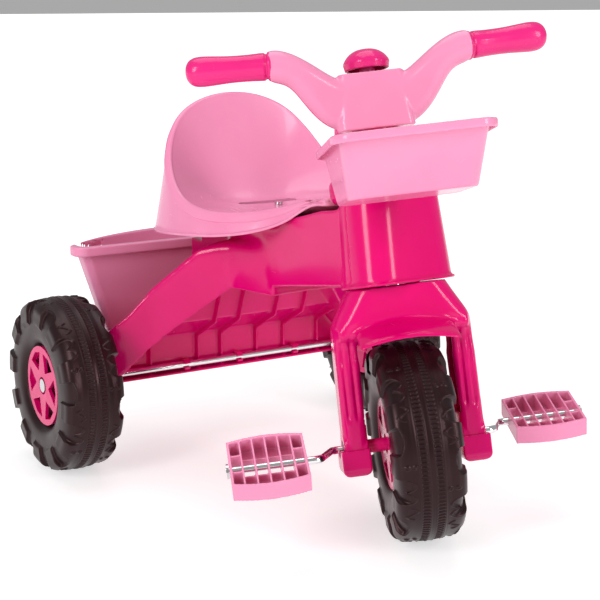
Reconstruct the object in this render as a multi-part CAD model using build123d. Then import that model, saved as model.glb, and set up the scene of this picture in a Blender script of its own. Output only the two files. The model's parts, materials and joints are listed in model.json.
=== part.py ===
from build123d import *
from math import cos, radians, sin
import os

# Children's pedal tricycle: blow-moulded body, front-wheel pedals, handlebar basket and rear bucket.
#
# Millimetres, +Z up.  The tricycle faces -Y and stands on Z = 0.  The front axle is at Y = 0 while the
# pieces are built, and the finished model is then moved so that its box is centred on the origin.
# Head-frame pieces are built with the steering axis as their own Z, so a pair (v, w) below is a
# distance behind the steering axis and a height along it.

# ---- overall sizes -------------------------------------------------------------------------------
TYRE_RADIUS = 104.0
TYRE_WIDTH = 73.2
REAR_TRACK = 452.2
WHEELBASE = 397.6
RAKE = 13.47                 # steering axis leans back by this angle
AXLE_LEAD = 5.2              # front axle ahead of the steering axis
REST_TURN = -25.65           # the front end is modelled turned to the rider's right

# ---- fits and walls ------------------------------------------------------------------------------
RUN_FIT = 0.05               # radial clearance of a shaft that turns in its bearing
END_PLAY = 0.4               # axial gap beside a part that turns
SHELL = 3.0                  # wall of the moulded pieces
BODY_WALL = 4.0

# ---- wheels --------------------------------------------------------------------------------------
LUG_COUNT = 12
LUG_ANGLE = 15.0
LUG_HEIGHT = 3.0             # how far the shoulder lugs stand out of the sidewall
RECESS_RADIUS = 50.0         # well in the side of the wheel that takes the hub cap
WEB_HALF = 18.0              # half thickness of the wheel at its centre
HUB_BORE = 6.5
CAP_SETBACK = 5.0            # hub cap face below the tyre's side
CAP_THICK = 4.0
CAP_FIT = 2.6                # cap edge inside the sloping well
CAP_HOLE = 10.5
SPOKES = 6
VENT = 2.0

# ---- rear axle -----------------------------------------------------------------------------------
REAR_AXLE_RADIUS = 5.0
SPACER_RADIUS = 9.0
WASHER_THICK = 1.5
NUT_RADIUS = 8.0
NUT_LENGTH = 8.0

# ---- crank and pedals ----------------------------------------------------------------------------
CRANK_RADIUS = 4.0
BEARING_RADIUS = 8.0
CRANK_ARM = 62.0
CRANK_BEND = 9.0
CRANK_OUT = 12.0             # first bend outside the fork leg
CRANK_FLARE = 18.0           # how far the arm leans outward
PEDAL_START = 13.0           # pedal outside the second bend
CRANK_DIP = -1.0             # rest angle of the crank about its axle, level at 0
PEDAL_WIDTH = 77.0
PEDAL_DEPTH = 74.0
PEDAL_THICK = 20.0
PEDAL_TILT = {"left": 24.0, "right": 34.0}
PEDAL_RIB = 2.4

# ---- fork ----------------------------------------------------------------------------------------
LEG_WIDTH = 25.0
LEG_DEPTH = 38.0
TYRE_GAP = 12.0              # tyre side to fork leg
CROWN_GAP = 8.0              # tyre top to crown
CROWN_HEIGHT = 50.0
NECK_HALF = 50.0
NECK_DEPTH = 74.0
VISOR_LIFT = 25.0            # visor above the tyre
VISOR_SWEEP = 34.0           # how far it reaches forward round the wheel
CAP_DROP = 28.0              # bottom of the fork cap below the axle

# ---- head ----------------------------------------------------------------------------------------
HEAD_GAP = 1.0               # fork crown to column
HEAD_HEIGHT = 88.0
HEAD_HALF_BASE = 58.0
HEAD_HALF_TOP = 53.5
HEAD_CORNER = 32.0
HEAD_DEPTH = 74.0
HEAD_CENTRE = -9.0           # middle of the column, ahead of the steering axis
HEAD_SEAM = -9.0             # where the front cover meets the body
FLANGE = 3.0
STEM_RADIUS = 11.0
STEM_SOCKET = 38.0           # depth of the stem in the fork
BUSH_RADIUS = 16.0
BUSH_LENGTH = 22.0
HEAD_TUBE_RADIUS = 34.0
COLLAR_RADIUS = 54.5
COLLAR_HEIGHT = 27.0

# ---- handlebar -----------------------------------------------------------------------------------
NECK_TUBE_RADIUS = 24.0
NECK_TUBE_LENGTH = 45.0
BOX_HEIGHT = 59.0
BOX_HALF_BASE = 40.0
BOX_HALF_TOP = 34.0
BOX_FRONT_BASE = 29.0
BOX_FRONT_TOP = 22.0
BOX_BACK = 30.0
BAR_SPLIT = -4.0             # joint between the two shells
ARM_DEPTH = 32.0
GRIP_INNER = 102.5
GRIP_LENGTH = 90.0
GRIP_RADIUS = 15.0
GRIP_LEAD = 21.0             # grip root ahead of the steering axis
GRIP_SWEEP = 8.4
GRIP_RISE = 2.9
PEG_RADIUS = 10.0            # shell ends inside the grips

# ---- horn ----------------------------------------------------------------------------------------
HORN_RADIUS = 24.5
HORN_HEIGHT = 21.0
HORN_TRAVEL = 4.0
HORN_CENTRE = 4.0
PLUNGER_RADIUS = 4.0

# ---- front basket --------------------------------------------------------------------------------
BASKET_LIP = 7.0             # rim beyond the walls at the sides
BASKET_LIP_DEPTH = 3.0       # rim beyond the walls in front and behind
BASKET_HALF_TOP = 68.0
BASKET_HALF_FLOOR = 61.0
BASKET_FRONT_TOP = 240.0
BASKET_FRONT_FLOOR = 193.0
BASKET_BACK_TOP = 84.0
BASKET_BACK_FLOOR = 96.0
BASKET_FLOOR_DROP = 79.0     # floor below the handlebar box
BASKET_HEIGHT = 56.0
RIM_HEIGHT = 9.0

# ---- body, heights are from the column's foot ----------------------------------------------------
SPINE_HALF = 50.0
ARCH_BACK = 10.0             # arch rear face behind the rear axle
ARCH_GAP = 6.5               # body to tyre
ARCH_FOOT = 10.0             # body's lowest edge below the rear axle
ARCH_SKIN = 5.0              # side wall beside the axle channel
RIB_DEPTH = 8.0              # ribs on the wall behind the axle channel
RIB_PLACES = (-0.62, -0.26, -0.08, 0.2, 0.42, 0.7)
SHELF_DEPTH = 80.0

# ---- seat ----------------------------------------------------------------------------------------
SEAT_HALF = 122.0
SEAT_BACK_OUT = 7.0          # seat's rear wall behind the rear axle
SEAT_BACK_RISE = 176.0
SEAT_SKIRT = 21.0
PAN_RISE = 50.0
SLOT_HALF = 39.0
SLOT_WIDTH = 15.0
SLOT_BACK = 95.0             # slot ahead of the rear axle

# ---- bucket --------------------------------------------------------------------------------------
BUCKET_RISE = -4.0           # rim top against the column's foot
BUCKET_DEPTH = 118.0
BUCKET_OVERHANG = 3.0        # rim beyond the body's sides
BUCKET_FRONT = 35.0          # wall front behind the rear axle at the rim
BUCKET_REAR = 120.0
BUCKET_TAPER = 40.0
BUCKET_RIM = 8.0
BUCKET_RIM_HEIGHT = 12.0

BOLT_RADIUS = 2.5
BOLT_HEAD = 5.0
BIG = 900.0                  # longer than the tricycle, for cuts that go right through
UP = (Align.CENTER, Align.CENTER, Align.MIN)
DOWN = (Align.CENTER, Align.CENTER, Align.MAX)

parts = {}


# ---- frames --------------------------------------------------------------------------------------
def head_foot():
    """Where the steering axis meets the ground, so that the front axle comes out at Y = 0."""
    s, c = sin(radians(RAKE)), cos(radians(RAKE))
    return AXLE_LEAD * c - axle_w * s


def world_of(v, w):
    """World Y and Z of a point v behind and w along the steering axis."""
    s, c = sin(radians(RAKE)), cos(radians(RAKE))
    return foot_y + v * c + w * s, w * c - v * s


# ---- wheels --------------------------------------------------------------------------------------
def wheel_face(inset):
    """Half section of a blown wheel in (x, radius), drawn inset from its skin."""
    side = TYRE_WIDTH / 2 - LUG_HEIGHT - inset
    crown = TYRE_RADIUS - inset
    shoulder = 0.6 * side
    low = HUB_BORE + inset
    web = WEB_HALF - inset
    well = RECESS_RADIUS + inset
    drop = 2.5
    with BuildSketch() as sk:
        with BuildLine():
            Polyline((-web, low), (web, low), (web, well - 6), (side - 6, well), (side, well + 7),
                     (side, crown - 19), (shoulder, crown - drop))
            ThreePointArc((shoulder, crown - drop), (0, crown), (-shoulder, crown - drop))
            Polyline((-shoulder, crown - drop), (-side, crown - 19), (-side, well + 7),
                     (-side + 6, well), (-web, well - 6), (-web, low))
        make_face()
        corner = sk.vertices().filter_by(lambda p: abs(p.Y - crown + 19) < 0.1)
        fillet(corner, 9)
    return sk.sketch


def lug_face():
    """Section of one shoulder lug, which laps over the tyre's corner."""
    side = TYRE_WIDTH / 2
    top = TYRE_RADIUS
    points = [(side - LUG_HEIGHT - 2, top - 24), (side - 1, top - 22), (side, top - 19), (side, top - 13),
              (side - 12, top - 0.8), (side - 17, top - 0.6), (side - 19, top - 4), (side - 10, top - 12)]
    return make_face(Polyline(*points, close=True))


def wheel_shell():
    """One blown wheel about the X axis, centred on the origin."""
    shell = revolve(wheel_face(0), Axis.X, 360) - revolve(wheel_face(SHELL), Axis.X, 360)
    lug = revolve(lug_face(), Axis.X, LUG_ANGLE)
    pitch = 360 / LUG_COUNT
    lugs = [Rot(pitch * i, 0, 0) * lug for i in range(LUG_COUNT)]
    lugs += [Rot(pitch * (i + 0.5), 0, 0) * mirror(lug, Plane.YZ) for i in range(LUG_COUNT)]
    shell = shell + lugs
    hole = Pos(0, 30, 0) * Rot(0, 90, 0) * Cylinder(VENT, WEB_HALF, align=UP)
    return shell - hole


def hub_cap():
    """Snap-in cap with six windows, its back on the wheel's web and its face toward +X."""
    face = TYRE_WIDTH / 2 - LUG_HEIGHT - CAP_SETBACK
    back = face - CAP_THICK
    radius = RECESS_RADIUS - CAP_FIT
    cap = rod(radius, back, face)
    skirt_long = back - WEB_HALF
    skirt = Cylinder(radius - 5, skirt_long) - Cylinder(radius - 5 - SHELL, skirt_long)
    boss = Cylinder(CAP_HOLE + 5, skirt_long)
    cap = cap + Pos(WEB_HALF + skirt_long / 2, 0, 0) * Rot(0, 90, 0) * (skirt + boss)
    inner, outer, half = 19.0, radius - 7, radians(180 / SPOKES) - 0.12
    window = Polyline((inner, 0), (outer * cos(half), outer * sin(half)), (outer + 1.5, 0),
                      (outer * cos(half), -outer * sin(half)), close=True)
    pane = rise(make_face(window), BIG)
    for i in range(SPOKES):
        cap = cap - Pos(back - 1, 0, 0) * Rot(0, 90, 0) * Rot(0, 0, 360 / SPOKES * (i + 0.5)) * pane
    return cap - Rot(0, 90, 0) * Cylinder(CAP_HOLE, BIG)


def tube(radius, bore, x_from, x_to):
    """A tube along X."""
    long = x_to - x_from
    return Pos((x_from + x_to) / 2, 0, 0) * Rot(0, 90, 0) * (Cylinder(radius, long) - Cylinder(bore, long + 2))


def rod(radius, x_from, x_to):
    """A round bar along X."""
    return Pos((x_from + x_to) / 2, 0, 0) * Rot(0, 90, 0) * Cylinder(radius, x_to - x_from)


def wheel_bush(bore):
    """Sleeve through a wheel's hub, a little longer than the hub."""
    return tube(HUB_BORE, bore, -WEB_HALF - 1, WEB_HALF + 1)


# ---- crank and pedals ----------------------------------------------------------------------------
def crank_rod():
    """Bent rod in the XY plane: axle through the hub, two opposite arms and two pedal spindles."""
    start = leg_outer + CRANK_OUT
    root = start + CRANK_FLARE
    end = pedal_outer + 3.5
    path = FilletPolyline((-end, -CRANK_ARM), (-root, -CRANK_ARM), (-start, 0), (start, 0),
                          (root, CRANK_ARM), (end, CRANK_ARM), radius=CRANK_BEND)
    section = Plane((-end, -CRANK_ARM, 0), z_dir=(1, 0, 0)) * Circle(CRANK_RADIUS)
    return sweep(section, path)


def pedal():
    """Ribbed pedal about the X axis, centred on its spindle."""
    half_w, half_d = PEDAL_WIDTH / 2, PEDAL_DEPTH / 2
    crown = 5.0
    with BuildSketch() as outline:
        with BuildLine():
            Line((-half_w, -half_d + crown), (-half_w, half_d - crown))
            ThreePointArc((-half_w, half_d - crown), (0, half_d), (half_w, half_d - crown))
            Line((half_w, half_d - crown), (half_w, -half_d + crown))
            ThreePointArc((half_w, -half_d + crown), (0, -half_d), (-half_w, -half_d + crown))
        make_face()
    block = extrude(outline.sketch, PEDAL_THICK / 2, both=True)
    inside = extrude(offset(outline.sketch, -PEDAL_RIB), PEDAL_THICK, both=True)
    frame = block - inside
    columns, rows = 5, 4
    ribs = []
    for i in range(1, columns):
        ribs.append(Pos(-half_w + PEDAL_WIDTH * i / columns, 0, 0) * Box(PEDAL_RIB, PEDAL_DEPTH, PEDAL_THICK - 2))
    for j in range(1, rows):
        ribs.append(Pos(0, -half_d + PEDAL_DEPTH * j / rows, 0) * Box(PEDAL_WIDTH, PEDAL_RIB, PEDAL_THICK - 5))
    sleeve = Rot(0, 90, 0) * Cylinder(CRANK_RADIUS + 3, PEDAL_WIDTH)
    body = frame + [rib & block for rib in ribs] + sleeve
    return body - Rot(0, 90, 0) * Cylinder(CRANK_RADIUS + RUN_FIT, PEDAL_WIDTH + 2)


# ---- fork ----------------------------------------------------------------------------------------
def leg_solid(side):
    """One fork leg from the crown down to its round foot."""
    x = side * (leg_inner + LEG_WIDTH / 2)
    top = Plane((x - side * 2, -8, crown_w + 12)) * RectangleRounded(LEG_WIDTH, LEG_DEPTH + 8, 8)
    low = Plane((x, -AXLE_LEAD, axle_w)) * RectangleRounded(LEG_WIDTH, LEG_DEPTH, 8)
    leg = loft([low, top])
    foot = Pos(x, -AXLE_LEAD, axle_w) * Rot(0, 90, 0) * Cylinder(LEG_DEPTH / 2, LEG_WIDTH)
    return leg + foot


def fork_solid():
    """Neck, crown, visor and two legs, bored for the stem and the crank bearings."""
    top_w = head_w - HEAD_GAP
    shoulder = leg_inner + LEG_WIDTH
    neck_top = Plane((0, HEAD_CENTRE + 2, top_w)) * RectangleRounded(2 * NECK_HALF, NECK_DEPTH, 24)
    neck_low = Plane((0, HEAD_CENTRE + 2, crown_w + 12)) * RectangleRounded(2 * shoulder - 4, NECK_DEPTH - 6, 18)
    fork = loft([neck_low, neck_top])
    fork = fork + leg_solid(-1) + leg_solid(1)
    fork = fork + Pos(0, HEAD_CENTRE + 2, crown_w + 6) * Box(2 * shoulder - 12, NECK_DEPTH - 12, 14)
    half = leg_inner + 4
    low_r = TYRE_RADIUS + VISOR_LIFT - 9
    top_r = TYRE_RADIUS + VISOR_LIFT
    with BuildSketch() as section:
        with BuildLine():
            ThreePointArc((-half, low_r), (0, top_r), (half, low_r))
            Line((half, low_r), (half, low_r + 4))
            ThreePointArc((half, low_r + 4), (0, top_r + 4.5), (-half, low_r + 4))
            Line((-half, low_r + 4), (-half, low_r))
        make_face()
    visor = Rot(90, 0, 0) * revolve(section.sketch, Axis.X, VISOR_SWEEP + 10)
    visor = Pos(0, -AXLE_LEAD, axle_w) * Rot(-10, 0, 0) * visor
    fork = fork + visor
    tunnel_half = leg_inner - 0.5
    tunnel = Box(2 * tunnel_half, BIG, BIG, align=DOWN)
    tunnel = fillet(tunnel.faces().sort_by(Axis.Z)[-1].edges().filter_by(Axis.Y), 20)
    disc = Pos(0, -AXLE_LEAD, axle_w) * Rot(0, 90, 0) * Cylinder(TYRE_RADIUS + VISOR_LIFT - 12, BIG)
    fork = fork - (Pos(0, 0, crown_w) * tunnel & disc)
    hollow = extrude(RectangleRounded(2 * NECK_HALF - 12, NECK_DEPTH - 12, 18), STEM_SOCKET)
    hollow = Pos(0, HEAD_CENTRE + 2, head_w - STEM_SOCKET + 5) * hollow - Cylinder(STEM_RADIUS + 7, BIG * 2)
    fork = fork - hollow
    for side in (-1, 1):
        channel = Box(LEG_WIDTH - BODY_WALL, LEG_DEPTH - 2 * BODY_WALL, crown_w - axle_w - 30,
                      align=UP)
        fork = fork - Pos(side * (leg_inner + LEG_WIDTH / 2 - BODY_WALL), -AXLE_LEAD - 1, axle_w + 24) * channel
    fork = fork - Pos(0, 0, head_w) * Cylinder(STEM_RADIUS, 2 * STEM_SOCKET)
    fork = fork - Pos(0, -AXLE_LEAD, axle_w) * Rot(0, 90, 0) * Cylinder(BEARING_RADIUS, BIG)
    return fork


def fork_cap(side):
    """Cap snapped round the foot of a leg, under the crank bearing."""
    x = side * (leg_inner + LEG_WIDTH / 2 + 1.5)
    wide = LEG_WIDTH + 5
    cap = Pos(x, -AXLE_LEAD, axle_w - CAP_DROP / 2) * Box(wide, LEG_DEPTH + 5, CAP_DROP)
    cap = fillet(cap.faces().sort_by(Axis.Z)[0].edges(), 8)
    cap = cap - leg_solid(side)
    return cap - Pos(0, -AXLE_LEAD, axle_w) * Rot(0, 90, 0) * Cylinder(BEARING_RADIUS, BIG)


# ---- head ----------------------------------------------------------------------------------------
def column_loft(inset):
    """The column's tapered outer shape, inset all round."""
    corner = HEAD_CORNER - inset
    deep = HEAD_DEPTH - 2 * inset
    low = RectangleRounded(2 * (HEAD_HALF_BASE - inset), deep, corner)
    top = RectangleRounded(2 * (HEAD_HALF_TOP - inset), deep - 4, corner)
    return loft([Plane((0, HEAD_CENTRE, head_w)) * low, Plane((0, HEAD_CENTRE, head_w + HEAD_HEIGHT)) * top])


def column_flange():
    sketch = RectangleRounded(2 * (HEAD_HALF_BASE + FLANGE), HEAD_DEPTH + 2 * FLANGE, HEAD_CORNER + FLANGE)
    return extrude(Plane((0, HEAD_CENTRE, head_w)) * sketch, FLANGE)


def front_half(shape):
    return shape & (Pos(0, HEAD_SEAM, 0) * Box(BIG, BIG, BIG * 2, align=(Align.CENTER, Align.MAX, Align.CENTER)))


def rear_half(shape):
    return shape & (Pos(0, HEAD_SEAM, 0) * Box(BIG, BIG, BIG * 2, align=(Align.CENTER, Align.MIN, Align.CENTER)))


def column_cover():
    """Front shell of the column."""
    cover = front_half(column_loft(0) + column_flange()) - column_loft(SHELL + 0.5)
    return cover - Pos(0, 0, head_w + HEAD_HEIGHT / 2) * Cylinder(HEAD_TUBE_RADIUS, BIG)


def stem_bush(w_low):
    """Flanged bush that carries the stem, its flange at the lower end."""
    bush = Cylinder(BUSH_RADIUS, BUSH_LENGTH) - Cylinder(STEM_RADIUS + RUN_FIT, BUSH_LENGTH + 2)
    return Pos(0, 0, w_low + BUSH_LENGTH / 2) * bush


def steering_collar():
    """Round collar on top of the column."""
    ring = Cylinder(COLLAR_RADIUS, COLLAR_HEIGHT)
    ring = fillet(ring.edges().filter_by(GeomType.CIRCLE), 9)
    groove = Cylinder(COLLAR_RADIUS + 5, 2) - Cylinder(COLLAR_RADIUS - 2, 3)
    hollow = Cylinder(COLLAR_RADIUS - 11, COLLAR_HEIGHT) - Cylinder(BUSH_RADIUS + 4, BIG)
    ring = ring - groove - Pos(0, 0, -2 * SHELL) * hollow - Cylinder(STEM_RADIUS + 1, COLLAR_HEIGHT + 2)
    return Pos(0, 0, head_w + HEAD_HEIGHT + COLLAR_HEIGHT / 2) * ring


# ---- handlebar -----------------------------------------------------------------------------------
def arm_sections(side, inset):
    """Sections of one S-shaped arm from the centre box to the grip."""
    base = bar_w
    stations = [(BOX_HALF_TOP - 6, -8, base + 29, 0, 0, 54), (52, -12, base + 42, 38, 0, 42),
                (67, -16, base + 57.5, 45, 0, 34), (83, -19, base + 69, 24, 0, 32),
                (GRIP_INNER - inset, -GRIP_LEAD - inset * sin(radians(GRIP_SWEEP)),
                 grip_w - inset * sin(radians(GRIP_RISE)), GRIP_RISE, GRIP_SWEEP, 30)]
    sections = []
    for x, v, w, angle, sweep_back, tall in stations:
        a, b = radians(angle), radians(sweep_back)
        plane = Plane((side * x, v, w), x_dir=(-side * sin(b), cos(b), 0),
                      z_dir=(side * cos(a) * cos(b), cos(a) * sin(b), sin(a)))
        depth = ARM_DEPTH - 2 * inset
        high = tall - 2 * inset
        sections.append(plane * RectangleRounded(depth, high, min(depth, high) / 2 - 1.0))
    return sections


def grip_place(side):
    return Pos(side * GRIP_INNER, -GRIP_LEAD, grip_w) * Rot(0, -side * GRIP_RISE, side * GRIP_SWEEP)


def bar_solid(inset):
    """Centre box, both arms and the pegs that hold the grips."""
    low = Plane((0, (BOX_BACK - BOX_FRONT_BASE) / 2, bar_w + inset)) * RectangleRounded(
        2 * (BOX_HALF_BASE - inset), BOX_FRONT_BASE + BOX_BACK - 2 * inset, 8 - inset)
    top = Plane((0, (BOX_BACK - BOX_FRONT_TOP) / 2, bar_w + BOX_HEIGHT - inset)) * RectangleRounded(
        2 * (BOX_HALF_TOP - inset), BOX_FRONT_TOP + BOX_BACK - 2 * inset, 8 - inset)
    bar = loft([low, top])
    for side in (-1, 1):
        long = GRIP_LENGTH - 12 - inset
        peg = Pos(side * long / 2, 0, 0) * Rot(0, 90, 0) * Cylinder(PEG_RADIUS - inset, long)
        bar = bar + loft(arm_sections(side, inset)) + grip_place(side) * peg
    return bar


def split_region():
    """Plan region ahead of the joint between the two handlebar shells."""
    tip_x = GRIP_INNER + GRIP_LENGTH * cos(radians(GRIP_SWEEP))
    tip_v = -GRIP_LEAD + GRIP_LENGTH * sin(radians(GRIP_SWEEP))
    half = [(BOX_HALF_TOP - 6, BAR_SPLIT), (GRIP_INNER, -GRIP_LEAD), (tip_x, tip_v), (BIG, tip_v), (BIG, -BIG)]
    other = [(-x, v) for x, v in reversed(half)]
    return extrude(make_face(Polyline(*half, *other, close=True)), BIG, both=True)


def handlebar_shells():
    """Front and rear half shells with the ribs that clamp the stem, and the well for the horn."""
    bar = bar_solid(0) - bar_solid(SHELL)
    for lift in (10, 30):
        share = lift / BOX_HEIGHT
        half = BOX_HALF_BASE + (BOX_HALF_TOP - BOX_HALF_BASE) * share - SHELL / 2
        ahead = BOX_FRONT_BASE + (BOX_FRONT_TOP - BOX_FRONT_BASE) * share - SHELL / 2
        back = BOX_BACK - SHELL / 2
        bar = bar + Pos(0, (back - ahead) / 2, bar_w + lift) * Box(2 * half, ahead + back, SHELL)
    bar = bar - Pos(0, 0, bar_w) * Cylinder(STEM_RADIUS, 2 * (BOX_HEIGHT - 20))
    well = Pos(0, HORN_CENTRE, box_top) * Cylinder(HORN_RADIUS - 4, 2 * (SHELL - 1))
    guide = Pos(0, HORN_CENTRE, box_top) * Cylinder(PLUNGER_RADIUS + END_PLAY, 4 * SHELL)
    bar = bar - well - guide
    front = split_region()
    return bar & front, bar - front


def neck_tube():
    """Tube between the collar and the handlebar, clamped on the stem."""
    low = collar_top + END_PLAY
    long = bar_w - low
    return Pos(0, 0, low + long / 2) * (Cylinder(NECK_TUBE_RADIUS, long) - Cylinder(STEM_RADIUS, long + 2))


def grip():
    """Sleeve with a collar ring, a waist and a bulged closed end, along +X from the origin."""
    long, big = GRIP_LENGTH, GRIP_RADIUS
    with BuildSketch() as half:
        with BuildLine():
            Polyline((END_PLAY, PEG_RADIUS), (END_PLAY, big), (5, big), (6, big - 1.5), (9, big - 1.5))
            Spline((9, big - 1.5), (long * 0.45, big - 1.2), (long * 0.8, big + 0.4), (long - 4, big - 5),
                   (long, 0))
            Polyline((long, 0), (long - 11, 0), (long - 11, PEG_RADIUS), (END_PLAY, PEG_RADIUS))
        make_face()
    return revolve(half.sketch, Axis.X, 360)


def horn_parts():
    """Push button dome, its return spring and the squeaker bellows under it."""
    lift = HORN_TRAVEL + 1
    with BuildSketch(Plane.XZ) as half:
        with BuildLine():
            Polyline((0, lift + HORN_HEIGHT - 3), (0, lift + HORN_HEIGHT))
            ThreePointArc((0, lift + HORN_HEIGHT), (HORN_RADIUS * 0.72, lift + HORN_HEIGHT - 4.5),
                          (HORN_RADIUS, lift + 7))
            Polyline((HORN_RADIUS, lift + 7), (HORN_RADIUS - 1.5, lift), (HORN_RADIUS - 4.5, lift),
                     (HORN_RADIUS - 3, lift + 7))
            ThreePointArc((HORN_RADIUS - 3, lift + 7), (HORN_RADIUS * 0.62, lift + HORN_HEIGHT - 7),
                          (0, lift + HORN_HEIGHT - 3))
        make_face()
    dome = revolve(half.sketch, Axis.Z, 360)
    plunger = Pos(0, 0, lift + HORN_HEIGHT - 2) * Cylinder(PLUNGER_RADIUS, HORN_HEIGHT + 12, align=DOWN)
    place = Pos(0, HORN_CENTRE, box_top)
    coil_low = 1 - SHELL
    coil_high = lift + HORN_HEIGHT - 3
    coil_long = coil_high - coil_low - HORN_TRAVEL - 4
    spring = Pos(0, 0, coil_low) * (Cylinder(8, coil_long, align=UP) - Cylinder(6.5, BIG))
    bellows = Pos(0, 0, -SHELL) * (Cylinder(13, 14, align=DOWN) - Cylinder(5.5, BIG))
    return place * (dome + plunger), place * spring, place * bellows


# ---- front basket --------------------------------------------------------------------------------
def tub(inset, floor_w, top_w):
    """Tapered tub of the basket between two heights."""
    def section(half, front, back, w):
        depth = front - back - 2 * inset
        return Plane((0, -(front + back) / 2, w)) * RectangleRounded(2 * (half - inset), depth, 14 - inset)
    return loft([section(BASKET_HALF_FLOOR, BASKET_FRONT_FLOOR, BASKET_BACK_FLOOR, floor_w),
                 section(BASKET_HALF_TOP, BASKET_FRONT_TOP, BASKET_BACK_TOP, top_w)])


def front_basket():
    floor_w = bar_w - BASKET_FLOOR_DROP
    top_w = floor_w + BASKET_HEIGHT
    depth = BASKET_FRONT_TOP - BASKET_BACK_TOP
    middle = -(BASKET_FRONT_TOP + BASKET_BACK_TOP) / 2
    half_rim = BASKET_HALF_TOP + BASKET_LIP
    deep = depth + 2 * BASKET_LIP_DEPTH
    rim_plane = Plane((0, middle, top_w - RIM_HEIGHT))
    rim = extrude(rim_plane * RectangleRounded(2 * half_rim, deep, 20), RIM_HEIGHT)
    inner = RectangleRounded(2 * (half_rim - SHELL), deep - 2 * SHELL, 17)
    hollow = extrude(rim_plane * inner, RIM_HEIGHT - SHELL)
    basket = rim - hollow + tub(0, floor_w, top_w)
    return basket - tub(SHELL, floor_w + SHELL, top_w + 0.01)


def basket_bracket():
    """Clamp ring on the neck with an arm that lies on the basket's rim and hooks inside its wall."""
    top_w = bar_w - BASKET_FLOOR_DROP + BASKET_HEIGHT
    thick = 5.0
    ring = Cylinder(NECK_TUBE_RADIUS + 6, 20) - Cylinder(NECK_TUBE_RADIUS, 22)
    ring = Pos(0, 0, top_w + 10) * ring
    drop = 14.0
    slope = (BASKET_BACK_FLOOR - BASKET_BACK_TOP) / BASKET_HEIGHT
    reach = BASKET_BACK_TOP + 2 * SHELL + slope * drop + END_PLAY
    low_corner = (Align.CENTER, Align.MIN, Align.MIN)
    high_corner = (Align.CENTER, Align.MIN, Align.MAX)
    arm = Pos(0, -reach, top_w) * Box(44, reach - NECK_TUBE_RADIUS - 2, thick, align=low_corner)
    hook = Pos(0, -reach, top_w) * Box(44, SHELL, drop, align=high_corner)
    return ring + (arm - Cylinder(NECK_TUBE_RADIUS, BIG * 2)) + hook


# ---- body ----------------------------------------------------------------------------------------
def spine_top():
    """Top line of the spine from the column back to its rear end, as world (Y, Z)."""
    return [world_of(26, head_w + HEAD_HEIGHT - 5), (WHEELBASE - 290, foot_z + 72), (WHEELBASE - 250, foot_z + 61),
            (WHEELBASE - 200, foot_z + PAN_RISE), (WHEELBASE - 18, foot_z + PAN_RISE)]


def spine_face():
    """Side view of the spine."""
    front_low = world_of(4, head_w + FLANGE)
    front_high = world_of(4, head_w + HEAD_HEIGHT - 5)
    low = [(WHEELBASE - 18, foot_z), (WHEELBASE + ARCH_BACK, foot_z), (WHEELBASE + ARCH_BACK, foot_z - 37),
           (WHEELBASE - 132, foot_z - 37)]
    return make_face(Polyline(front_low, front_high, *spine_top(), *low, close=True))


def arch_front_face():
    """Front view of the rear arch: two legs under sloping shoulders."""
    low = TYRE_RADIUS - ARCH_FOOT
    half = [(arch_half, low), (arch_half, foot_z - 93), (arch_half * 0.78, foot_z - 43),
            (arch_half * 0.54, foot_z + 7), (arch_half * 0.38, foot_z + SEAT_SKIRT - 5)]
    other = [(-x, z) for x, z in reversed(half)]
    return make_face(Polyline(*half, *other, close=True))


def arch_plan_face():
    """Plan of the rear arch, flaring from the spine to the wheels."""
    back = WHEELBASE + ARCH_BACK
    half = [(SPINE_HALF - 2, WHEELBASE - 190), (arch_half * 0.36, WHEELBASE - 125),
            (arch_half * 0.54, WHEELBASE - 95), (arch_half * 0.78, WHEELBASE - 58),
            (arch_half, WHEELBASE - 38), (arch_half, back)]
    other = [(-x, y) for x, y in reversed(half)]
    return make_face(Polyline(*half, *other, close=True))


def arch_side_face(inset, low):
    """Side view of the arch: behind its shoulder line the top falls away to the bucket's shelf."""
    line = [(WHEELBASE - 130, foot_z + 60), (WHEELBASE - 96, foot_z + 9), (WHEELBASE - 58, foot_z - 41),
            (WHEELBASE - 38, foot_z - 91), (WHEELBASE + ARCH_BACK, bucket_floor + 5)]
    line = [(y - inset, z - 0.6 * inset) for y, z in line]
    return make_face(Polyline((0, low), (0, foot_z + 60 - inset), *line, (line[-1][0], low), close=True))


def recess_face():
    """Front view of the space under the arch."""
    low = TYRE_RADIUS - ARCH_FOOT
    half = [(arch_half - ARCH_SKIN, low - 60), (arch_half - ARCH_SKIN, low + 12), (arch_half - 57, foot_z - 99),
            (arch_half * 0.36, foot_z - 39), (0, foot_z - 37)]
    other = [(-x, z) for x, z in reversed(half[:-1])]
    return make_face(Polyline(*half, *other, close=True))


def rise(face, height):
    """Extrude a face drawn in (x, y) straight up."""
    return extrude(face, height, dir=(0, 0, 1))


def along_y(face, y_from, y_to):
    """Extrude a front-view face drawn in (x, z) between two Y planes."""
    return Pos(0, y_to, 0) * (Plane.XZ * rise(face, y_to - y_from))


def along_x(face, half):
    """Extrude a side-view face drawn in (y, z) to both sides of the middle."""
    return Pos(-half, 0, 0) * (Plane.YZ * rise(face, 2 * half))


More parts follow.
